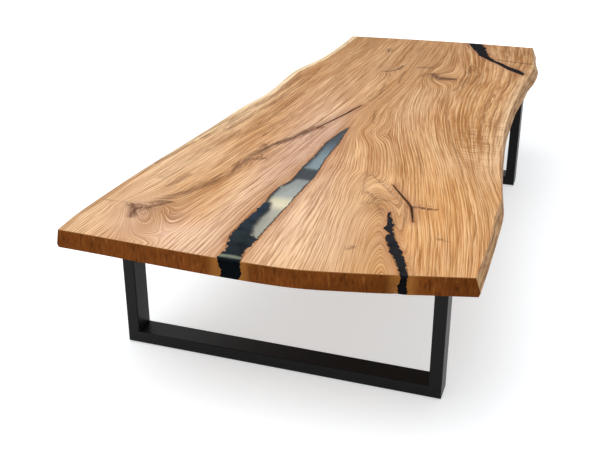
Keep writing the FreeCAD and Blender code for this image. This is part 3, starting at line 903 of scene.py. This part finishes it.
# Moulded polyethylene: matt black with a fine grit.
def glide_plastic():
    material, tree = new_material("black_polyethylene")
    place = add(tree, "ShaderNodeTexCoord", None, "Object")
    grit = add(tree, "ShaderNodeTexNoise", {"Vector": place, "Scale": 1 / (0.8 * MM), "Detail": 2.0})
    colour = coated(tree, "#161616", [("#222222", 1.0, grit)])
    shader = add(tree, "ShaderNodeBsdfPrincipled", {"Base Color": colour, "Roughness": 0.55})
    add(tree, "ShaderNodeOutputMaterial", {0: shader}, None)
    return material


oak_slab(oiled_oak())
resin_finishes = {"clear_resin": clear_resin(), "black_resin": black_resin()}
for node, (slot, _) in RESINS.items():
    resin_piece(node, resin_finishes[slot])

# The other pieces keep the frame's meshes and get their finish.
kept_finishes = {
    "black_steel": powder_coat(),
    "zinc_steel": zinc_plate(),
    "glide_plastic": glide_plastic(),
}
for row in frame["record"]["subparts"]:
    if row["material_slot"] in kept_finishes:
        mesh = frame["nodes"][row["node"]].data
        mesh.materials.clear()
        mesh.materials.append(kept_finishes[row["material_slot"]])


# Hexagon-head bolts and screws, head down, with their sizes. A hexagon's corners lie further out than
# its flats.
BOLT_SIZES = ("Across Flats", "Head Height", "Shank Diameter", "Shank Length")
BOLTS = {
    "mounting_bolts": (13.0, 5.3, 8.0, 35.0),
    "stiffener_screws": (10.0, 4.0, 6.0, 30.0),
}
HEXAGON_CORNER = 1 / math.sqrt(3)


def bolt_tree():
    """A bolt at each place: shank, washer face, hexagon and chamfered end of the head."""
    tree = bpy.data.node_groups.new("hexagon_bolts", "GeometryNodeTree")
    tree.interface.new_socket("Places", in_out="INPUT", socket_type="NodeSocketGeometry")
    for name in BOLT_SIZES:
        tree.interface.new_socket(name, in_out="INPUT", socket_type="NodeSocketFloat")
    tree.interface.new_socket("Finish", in_out="INPUT", socket_type="NodeSocketMaterial")
    tree.interface.new_socket("Bolts", in_out="OUTPUT", socket_type="NodeSocketGeometry")
    places, flats, height, diameter, length, finish, _ = add(tree, "NodeGroupInput", None, None)
    # Each step: corners, width with its upper and lower radius as shares of it, and height with the
    # step's top and depth as shares of that.
    rows = (
        (16, diameter, 0.5, 0.5, length, 1.0, 1.0),
        (24, flats, 0.5, 0.5, height, 0.0, 0.08),
        (6, flats, HEXAGON_CORNER, HEXAGON_CORNER, height, -0.08, 0.74),
        (24, flats, 0.5, 0.45, height, -0.82, 0.18),
    )
    steps = []
    for corners, width, upper, lower, tall, top, deep in rows:
        shares = ((width, upper), (width, lower), (tall, deep), (tall, top - deep))
        radius, lower_radius, depth, drop = [
            add(tree, "ShaderNodeMath", {0: size, 1: share}, operation="MULTIPLY") for size, share in shares
        ]
        inputs = {"Vertices": corners, "Radius Top": radius, "Radius Bottom": lower_radius, "Depth": depth}
        step = add(tree, "GeometryNodeMeshCone", inputs)
        move = add(tree, "ShaderNodeCombineXYZ", {2: drop})
        steps.append(add(tree, "GeometryNodeTransform", {"Geometry": step, "Translation": move}))
    bolt = add(tree, "GeometryNodeJoinGeometry", {0: steps})
    bolts = add(tree, "GeometryNodeInstanceOnPoints", {"Points": places, "Instance": bolt})
    solid = add(tree, "GeometryNodeRealizeInstances", {0: bolts})
    dressed = add(tree, "GeometryNodeSetMaterial", {"Geometry": solid, "Material": finish})
    add(tree, "NodeGroupOutput", {0: dressed}, None)
    return tree


def head_places(node, head_height):
    """The middle of each bolt under its head, from the bolts of the frame, which stand well apart."""
    points, _ = merged(node)
    groups = []
    for point in points:
        for group in groups:
            if np.hypot(*(group[0] - point)[:2]) < 2 * head_height:
                group.append(point)
                break
        else:
            groups.append([point])
    bearing = points[:, 2].min() + head_height
    middles = [(np.min(group, axis=0) + np.max(group, axis=0)) / 2 for group in groups]
    return [(x * MM, y * MM, bearing * MM) for x, y, _ in middles]


def bolt_piece(node, tree, finish):
    """All bolts of one kind, as a plain mesh in place of the frame's."""
    sizes = dict(zip(BOLT_SIZES, BOLTS[node]))
    name = f"{node}_finish"
    mesh = bpy.data.meshes.new(name)
    mesh.from_pydata(head_places(node, sizes["Head Height"]), [], [])
    piece = bpy.data.objects.new(name, mesh)
    bpy.context.scene.collection.objects.link(piece)
    modifier = piece.modifiers.new("bolts", "NODES")
    modifier.node_group = tree
    for socket in tree.interface.items_tree:
        if socket.name in sizes:
            modifier[socket.identifier] = sizes[socket.name] * MM
        elif socket.name == "Finish":
            modifier[socket.identifier] = finish
    made = piece.evaluated_get(bpy.context.evaluated_depsgraph_get())
    piece.data = bpy.data.meshes.new_from_object(made)
    piece.modifiers.clear()
    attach(piece, "root")
    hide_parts(node)


hexagon_bolts = bolt_tree()
for node in BOLTS:
    bolt_piece(node, hexagon_bolts, kept_finishes["zinc_steel"])


# Stage: white floor and surroundings that keep the table's soft shadow. The floor glows least round the
# table's middle, which is a painted shadow there, and in full from a distance on.
WHITE = srgb("#ffffff")
FLOOR_HALF = 14.0
GLOW_IN_PAINTED_SHADOW = 0.5
PAINTED_SHADOW_FADES_FROM = 1.2
PAINTED_SHADOW_ENDS_AT = 2.6
AMBIENT = 0.47
SOFTBOX_PLACE = Vector((-0.45, -0.95, 3.0))
SOFTBOX_TARGET = Vector((0.1, 0.4, 0.4))
SOFTBOX_WIDTH = 3.4
SOFTBOX_LENGTH = 3.2
SOFTBOX_WATTS = 94.0


def seen_directly(tree):
    """1 for rays that show the background, 0 for rays that light the object."""
    path = add(tree, "ShaderNodeLightPath", None, None)
    inputs = {0: path["Is Camera Ray"], 1: path["Is Glossy Ray"]}
    shown = add(tree, "ShaderNodeMath", inputs, operation="ADD")
    inputs = {0: shown, 1: path["Is Transmission Ray"]}
    return add(tree, "ShaderNodeMath", inputs, operation="ADD", use_clamp=True)


# Painted studio floor: matt white, glowing more the further it is from the table, so that it fades out;
# the weaker glow near the table is a painted shadow.
def white_floor():
    material, tree = new_material("white_studio_floor")
    plain = add(tree, "ShaderNodeBsdfDiffuse", {"Color": srgb("#c8c8c8")})
    place = add(tree, "ShaderNodeTexCoord", None, "Object")
    out = add(tree, "ShaderNodeVectorMath", {0: place}, "Value", operation="LENGTH")
    # Painted shadow: the glow is weakest round the table's middle.
    inputs = {0: out, 1: PAINTED_SHADOW_FADES_FROM, 2: PAINTED_SHADOW_ENDS_AT, 3: GLOW_IN_PAINTED_SHADOW, 4: 1.0}
    level = add(tree, "ShaderNodeMapRange", inputs, interpolation_type="SMOOTHSTEP")
    glow = add(tree, "ShaderNodeEmission", {"Color": WHITE, "Strength": level})
    shaded = add(tree, "ShaderNodeBsdfDiffuse", {"Color": srgb("#dde2e6")})
    lifted = add(tree, "ShaderNodeAddShader", {0: glow, 1: shaded})
    mixed = add(tree, "ShaderNodeMixShader", {0: seen_directly(tree), 1: plain, 2: lifted})
    add(tree, "ShaderNodeOutputMaterial", {0: mixed}, None)
    return material


def floor():
    """A wide flat floor under the table."""
    mesh = bpy.data.meshes.new("floor")
    corners = [(x * FLOOR_HALF, y * FLOOR_HALF, 0.0) for x, y in ((-1, -1), (1, -1), (1, 1), (-1, 1))]
    mesh.from_pydata(corners, [], [(0, 1, 2, 3)])
    mesh.materials.append(white_floor())
    plane = bpy.data.objects.new("floor", mesh)
    bpy.context.scene.collection.objects.link(plane)


def surroundings():
    """White to look at, and dimmer as a light."""
    world = bpy.data.worlds.new("studio")
    world.use_nodes = True
    tree = world.node_tree
    tree.nodes.clear()
    ambient = add(tree, "ShaderNodeBackground", {"Color": WHITE, "Strength": AMBIENT})
    shown = add(tree, "ShaderNodeBackground", {"Color": WHITE, "Strength": 1.0})
    mixed = add(tree, "ShaderNodeMixShader", {0: seen_directly(tree), 1: ambient, 2: shown})
    add(tree, "ShaderNodeOutputWorld", {0: mixed}, None)
    bpy.context.scene.world = world


def overhead_softbox():
    """A broad lamp over the front of the table, turned towards its rear half."""
    lamp = bpy.data.lights.new("overhead_softbox", "AREA")
    lamp.shape = "RECTANGLE"
    lamp.size = SOFTBOX_WIDTH
    lamp.size_y = SOFTBOX_LENGTH
    lamp.energy = SOFTBOX_WATTS
    box = bpy.data.objects.new("overhead_softbox", lamp)
    box.location = SOFTBOX_PLACE
    box.rotation_euler = (SOFTBOX_TARGET - SOFTBOX_PLACE).to_track_quat("-Z", "Y").to_euler()
    bpy.context.scene.collection.objects.link(box)


floor()
surroundings()
overhead_softbox()

# Camera at the photograph's viewing angle: its place, and in degrees how far it looks down and to the left.
LENS_PX = 950.0
FRAME_PX = 600.0
SENSOR_MM = 36.0
CAMERA_PLACE = (0.62908, -2.43681, 1.27120)
CAMERA_DOWN = 25.363
CAMERA_LEFT = 18.542

camera_data = bpy.data.cameras.new("camera")
camera_data.sensor_width = SENSOR_MM
camera_data.lens = LENS_PX / FRAME_PX * SENSOR_MM
camera = bpy.data.objects.new("camera", camera_data)
camera.location = CAMERA_PLACE
camera.rotation_euler = (math.radians(90 - CAMERA_DOWN), 0.0, math.radians(CAMERA_LEFT))
bpy.context.scene.collection.objects.link(camera)
bpy.context.scene.camera = camera

bpy.context.scene.view_settings.view_transform = "Standard"
